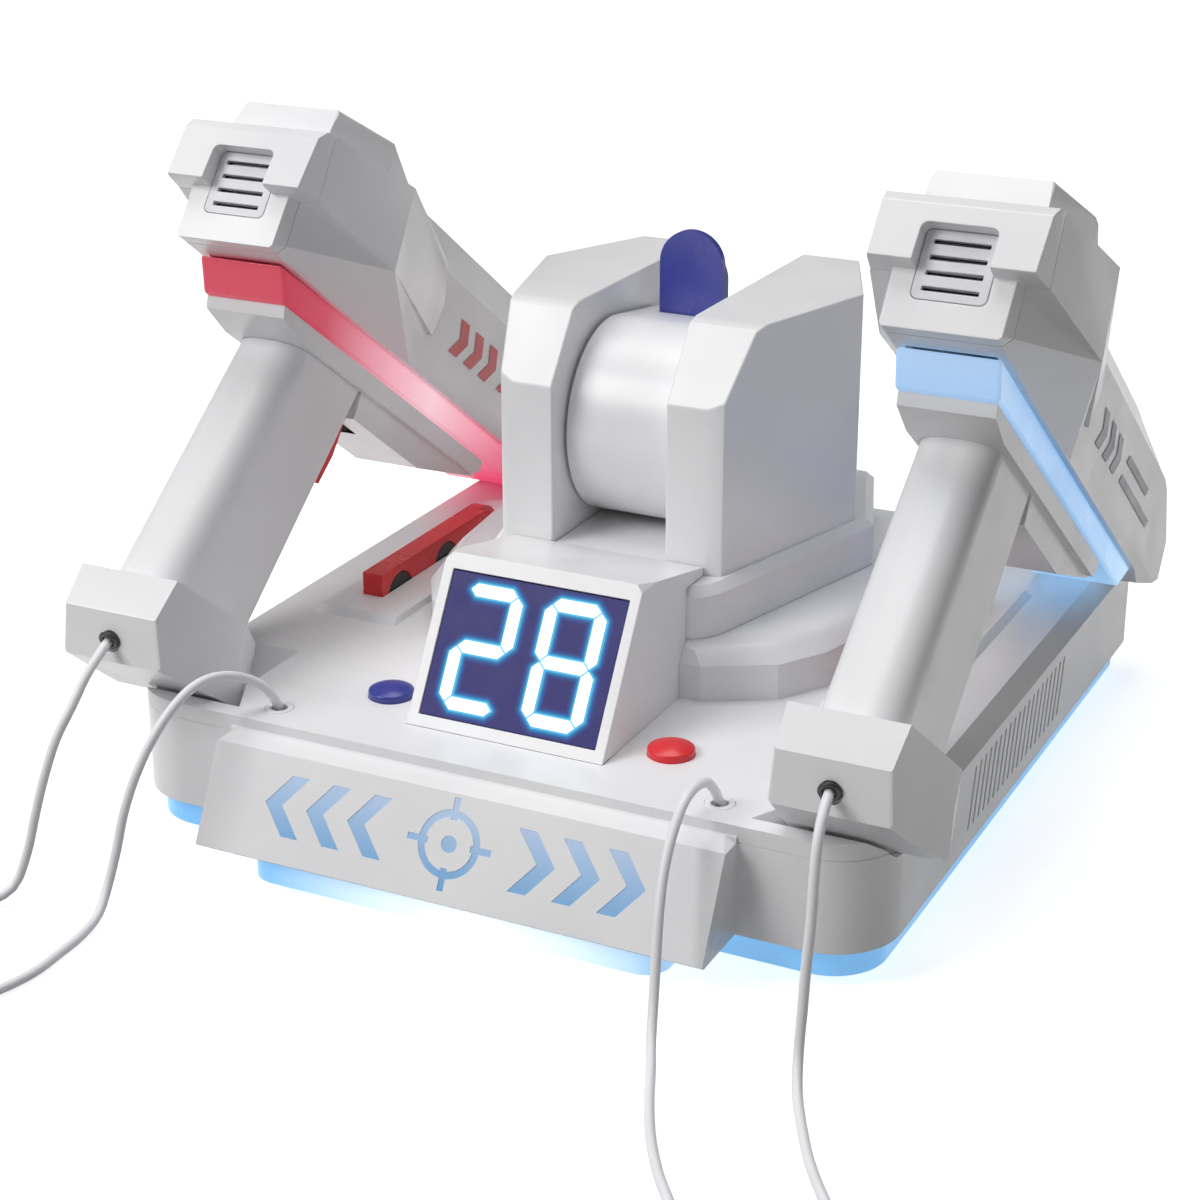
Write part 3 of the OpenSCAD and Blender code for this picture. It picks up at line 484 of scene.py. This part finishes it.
def coil_line(middle, start_angle, turn, turns):
    """Turns of a flat coil: inwards on the table, back outwards on top.

    turn is 1 for counterclockwise and -1 for clockwise."""
    low, high = 1.8, 1.8 + CORD_PITCH
    line = []
    count = round(turns * CIRCLE_STEPS)
    for i in range(count + 1):
        t = turns * i / count
        # Three steps in, a climb, then three steps back out.
        row = 0.0
        for k in range(3):
            row += ease((t - (turns - 6.5 + k)) / 0.5)
            row -= ease((t - (turns - 3 + k)) / 0.5)
        rise = ease((t - (turns - 3.75)) / 0.25)
        r = COIL_OUTER - CORD_PITCH * row
        a = math.radians(start_angle) + turn * 2 * math.pi * t
        line.append(Vector((middle[0] + r * math.cos(a),
                            middle[1] + r * math.sin(a),
                            low + (high - low) * rise)))
    return line


LEFT_BASE_ROUTE = [
    (-88, 41, 56), (-90, 40, 61), (-93, 37, 66), (-97, 30, 71),
    (-101, 20, 74), (-104, 10, 73), (-107, 0, 67), (-110, -8, 58),
    (-113, -15, 46), (-115, -20, 34), (-116, -24, 22), (-116.5, -30, 10),
    (-115, -38, 3.4), (-113, -50, 1.8), (-112, -64, 1.8), (-112, -80, 1.8),
    (-117, -97, 1.8), (-127, -111, 1.8), (-143, -121.5, 1.8),
    (-162, -125, 1.8)]
LEFT_GUN_ROUTE = [
    (-138.6, 10, 85.4), (-138, 2, 82), (-138, -6, 77), (-139, -13, 69),
    (-142, -20, 58), (-144, -26, 45), (-146, -30, 32), (-148, -34, 18),
    (-151, -40, 6), (-158, -49, 2), (-168, -58, 1.8), (-178, -70, 3),
    (-185.4, -84.5, 5.4)]
RIGHT_BASE_ROUTE = [
    (88, 41, 56), (87, 39, 61), (86, 35, 66), (85.4, 27, 68), (85.6, 17, 67),
    (86, 7, 60), (87, -2, 50), (89, -10, 38), (91, -16, 26), (93, -22, 14),
    (96, -30, 5), (101, -41, 1.8), (108, -57, 1.8), (117, -75, 1.8),
    (127, -91, 1.8), (137, -104, 1.8), (147, -119, 1.8), (153, -137, 1.8)]
RIGHT_GUN_ROUTE = [
    (138.6, 10, 85.4), (140, 2, 83), (141, -5, 77), (142, -10, 66),
    (143, -14, 52), (143.4, -18, 38), (143.8, -21, 24), (144.5, -25, 11),
    (148, -34, 3), (155, -48, 1.8), (165, -66, 1.8), (177, -83, 1.8),
    (191, -99, 1.8), (203, -117, 3), (207, -137, 5.4)]
CORDS = {
    "left": (LEFT_BASE_ROUTE, LEFT_GUN_ROUTE, (-162, -98), -90, -1, 19 / 3),
    "right": (RIGHT_BASE_ROUTE, RIGHT_GUN_ROUTE, (180, -137), 180, 1, 6.5),
}


def add_tie(side, middle):
    """A soft twist tie round the coil's turns."""
    x, y = middle[0], middle[1] + COIL_MEAN
    half_across, half_up, middle_z = 8.8, 4.4, 3.9
    line = []
    for i in range(CIRCLE_STEPS + 1):
        a = 2 * math.pi * i / CIRCLE_STEPS
        c, s = math.cos(a), math.sin(a)
        # Flatter under the turns, where it lies on the table.
        rise = half_up * math.copysign(abs(s) ** 0.6, s) * (
            1 if s > 0 else 0.6)
        line.append(at(x, y + half_across * math.copysign(abs(c) ** 0.5, c),
                       middle_z + rise))
    obj = tube(side + "_cord_tie", line, 0.9 * MM, "dark_plastic", 8)
    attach(obj, "base")
    return obj


for side, (base_route, gun_route, middle, angle, turn, turns) in CORDS.items():
    lead = curve_through(base_route)
    wound = coil_line(middle, angle, turn, turns)
    line = [at(*p) for p in lead + wound[1:]]
    stored = tube(side + "_base_cord", line, CORD_D / 2 * MM, "cord_sleeve")
    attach(stored, "base")
    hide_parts(side + "_cord_tube", side + "_cord_coil")
    add_tie(side, middle)
    gun_line = [at(*p) for p in curve_through(gun_route)]
    loose = tube(side + "_gun_cord", gun_line, CORD_D / 2 * MM, "cord_sleeve")
    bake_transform(loose)


# ------------------------------------------------------------ digit halo
def digit_bars():
    """Outlines of the lit bars, on the window's own plane."""
    # Half the spacing of a digit's bars, across and up.
    w, h = 9.8, 10.5
    spots = [(0, 2 * h, 0), (w, h, 90), (w, -h, 90), (0, -2 * h, 0),
             (-w, -h, 90), (-w, h, 90), (0, 0, 0)]
    for middle, lit in ((-17, (0, 1, 3, 4, 6)), (16.4, range(7))):
        for i in lit:
            x, y, quarter = spots[i]
            half = (18.6 if i in (0, 3, 6) else 20) / 2
            corners = [(-half, 0), (-half + 2.3, 2.3), (half - 2.3, 2.3),
                       (half, 0), (half - 2.3, -2.3), (-half + 2.3, -2.3)]
            if quarter:
                corners = [(-b, a) for a, b in corners]
            yield [(x + a + middle, y + b + WINDOW_MIDDLE)
                   for a, b in corners]


def distance_to_bar(x, y, bar):
    """Distance of a point from a filled convex outline."""
    best, inside = 1e9, True
    for (ax, ay), (bx, by) in zip(bar, bar[1:] + bar[:1]):
        dx, dy = bx - ax, by - ay
        t = ((x - ax) * dx + (y - ay) * dy) / (dx * dx + dy * dy)
        t = min(max(t, 0), 1)
        best = min(best, math.hypot(x - ax - t * dx, y - ay - t * dy))
        if (x - ax) * dy - (y - ay) * dx < 0:
            inside = False
    return 0.0 if inside else best


def add_halo():
    """A thin sheet over the window that holds the glow round the digits."""
    bars = [b if sum((x2 - x1) * (y2 + y1) for (x1, y1), (x2, y2)
                     in zip(b, b[1:] + b[:1])) > 0 else b[::-1]
            for b in digit_bars()]
    columns, rows = 140, 106
    width, height, bottom, depth, reach = 70.2, 53.2, 0.4, -0.57, 3.4
    points, glow = [], []
    for j in range(rows + 1):
        for i in range(columns + 1):
            x = -width / 2 + width * i / columns
            y = bottom + height * j / rows
            d = min(distance_to_bar(x, y, b) for b in bars)
            points.append(window_at(x, y, depth))
            glow.append(ease(1 - d / reach))
    faces = []
    for j in range(rows):
        for i in range(columns):
            a = j * (columns + 1) + i
            faces.append((a, a + 1, a + columns + 2, a + columns + 1))
    obj = add_mesh("digit_halo", points, faces, "halo")
    obj.data.attributes.new("glow", "FLOAT", "POINT").data.foreach_set(
        "value", glow)
    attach(obj, "base")


add_halo()


# ----------------------------------------------------------- barrel graphics
def node_surface(name):
    """The node as it shows, edges rounded, ready for rays."""
    deps = bpy.context.evaluated_depsgraph_get()
    return BVHTree.FromObject(nodes[name], deps)


# How far the print stands proud of the barrel, and how far out its rays start.
PRINT_LIFT = 0.25
RAY_START = 60


def side_shapes():
    """Generic print for a barrel side, in u along and v up."""
    for u in (150, 165, 180):
        yield [(u, 30), (u + 8, 30), (u + 15, 38), (u + 7, 38)]
        yield [(u + 7, 38), (u + 15, 38), (u + 12, 46), (u + 4, 46)]
    yield [(200, 31), (262, 31), (265, 35), (203, 35)]
    yield [(206, 41), (250, 41), (253, 45), (209, 45)]


def add_print(side, outward, material):
    """Thin printed shapes that lie on one side of a barrel."""
    tree = node_surface(side_word(side) + "_gun_shell")
    bm = bmesh.new()
    for shape in side_shapes():
        face = bm.faces.new([bm.verts.new((u, v, 0)) for u, v in shape])
        bmesh.ops.triangulate(bm, faces=[face])
    for _ in range(3):
        bmesh.ops.subdivide_edges(bm, edges=bm.edges[:], cuts=1,
                                  use_grid_fill=True)
    for v in bm.verts:
        start = gun_at(side, outward * RAY_START, v.co.x, v.co.y)
        hit = tree.ray_cast(start, Vector((-outward, 0, 0)))[0]
        v.co = hit + Vector((outward * PRINT_LIFT * MM, 0, 0))
    bm.normal_update()
    for f in bm.faces:
        if f.normal.x * outward < 0:
            f.normal_flip()
    name = "%s_gun_print_%s" % (side_word(side),
                                "out" if side == outward else "in")
    mesh = bpy.data.meshes.new(name)
    bm.to_mesh(mesh)
    bm.free()
    mesh.materials.append(MATERIALS[material])
    obj = bpy.data.objects.new(name, mesh)
    bpy.context.collection.objects.link(obj)
    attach(obj, side_word(side) + "_gun")


for side, material in ((-1, "red_print"), (1, "navy_print")):
    for outward in (-1, 1):
        add_print(side, outward, material)


# ------------------------------------------------------- small gun pieces
def add_gun_box(side, name, low, high, material):
    """A block between two corners of a gun's own space."""
    corners = [gun_at(side, w, u, v) for w in (low[0], high[0])
               for u in (low[1], high[1]) for v in (low[2], high[2])]
    faces = [(0, 1, 3, 2), (4, 6, 7, 5), (0, 4, 5, 1), (2, 3, 7, 6),
             (0, 2, 6, 4), (1, 5, 7, 3)]
    obj = add_mesh(name, corners, faces, material, smooth=False)
    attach(obj, side_word(side) + "_gun")


def add_hole_shade_ring(side, name, route):
    """Dark ring round the cord where it leaves the butt: painted shade of the
    hole round the cord.
    """
    mouth = Vector(route[0])
    out = (Vector(route[1]) - mouth).normalized()
    across = out.orthogonal().normalized()
    up = out.cross(across)
    line = []
    proud, radius = 0.4, 3.0
    for i in range(CIRCLE_STEPS + 1):
        a = 2 * math.pi * i / CIRCLE_STEPS
        round_it = math.cos(a) * across + math.sin(a) * up
        line.append(at(*(mouth + out * proud + radius * round_it)))
    # The dark plastic of this ring is painted shade, not a part of its own.
    obj = tube(name, line, 1.0 * MM, "dark_plastic", 8)
    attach(obj, side_word(side) + "_gun")


for side, route in ((-1, LEFT_GUN_ROUTE), (1, RIGHT_GUN_ROUTE)):
    add_gun_box(side, side_word(side) + "_speaker_cloth", (-10.6, 7.0, 27.4),
                (10.6, 7.6, 48.6), "black_film")
    # A dark ring at each cord's mouth paints the shade in the hole round the
    # cord.
    add_hole_shade_ring(side, side_word(side) + "_cord_bush", route)


# ------------------------------------------------------------ studio
def add_floor():
    """Pale floor that stays white without lighting the object."""
    s = Shader("floor")
    tone = s.ramp(s.noise(2), [(0.3, (0.93, 0.93, 0.93)),
                               (0.7, (0.95, 0.95, 0.95))])
    s.link(tone, s.bsdf.inputs["Base Color"])
    s.link(tone, s.bsdf.inputs["Emission Color"])
    s.set(Roughness=0.8, Emission_Strength=0.72)
    MATERIALS["floor"] = s.mat
    size, z = 8.0, FLOOR_Z * MM
    floor = add_mesh("floor", [(-size, -size, z), (size, -size, z),
                               (size, size, z), (-size, size, z)],
                     [(0, 1, 2, 3)], "floor")
    floor.visible_diffuse = False


def add_light(name, place, target, size, watts):
    """A round soft light that points at a target."""
    data = bpy.data.lights.new(name, "AREA")
    data.shape = "DISK"
    data.size = size
    data.energy = watts
    light = bpy.data.objects.new(name, data)
    light.location = place
    light.rotation_euler = (Vector(target) - Vector(place)).to_track_quat(
        "-Z", "Y").to_euler()
    bpy.context.collection.objects.link(light)


add_floor()
add_light("key", (-1.2, -1.5, 1.6), (0, 0, 0.1), 1.3, 32)
add_light("top", (-0.2, 0.2, 2.2), (0, 0, 0.1), 1.6, 21)


def add_world():
    """Dim even light, with a white backdrop for the camera."""
    world = bpy.data.worlds.new("studio")
    world.use_nodes = True
    tree = world.node_tree
    dim = tree.nodes["Background"]
    dim.inputs["Color"].default_value = (1, 1, 1, 1)
    dim.inputs["Strength"].default_value = 0.2
    backdrop = tree.nodes.new("ShaderNodeBackground")
    backdrop.inputs["Color"].default_value = (1, 1, 1, 1)
    ray = tree.nodes.new("ShaderNodeLightPath")
    pick = tree.nodes.new("ShaderNodeMixShader")
    tree.links.new(ray.outputs["Is Camera Ray"], pick.inputs[0])
    tree.links.new(dim.outputs[0], pick.inputs[1])
    tree.links.new(backdrop.outputs[0], pick.inputs[2])
    tree.links.new(pick.outputs[0],
                   tree.nodes["World Output"].inputs["Surface"])
    bpy.context.scene.world = world


add_world()
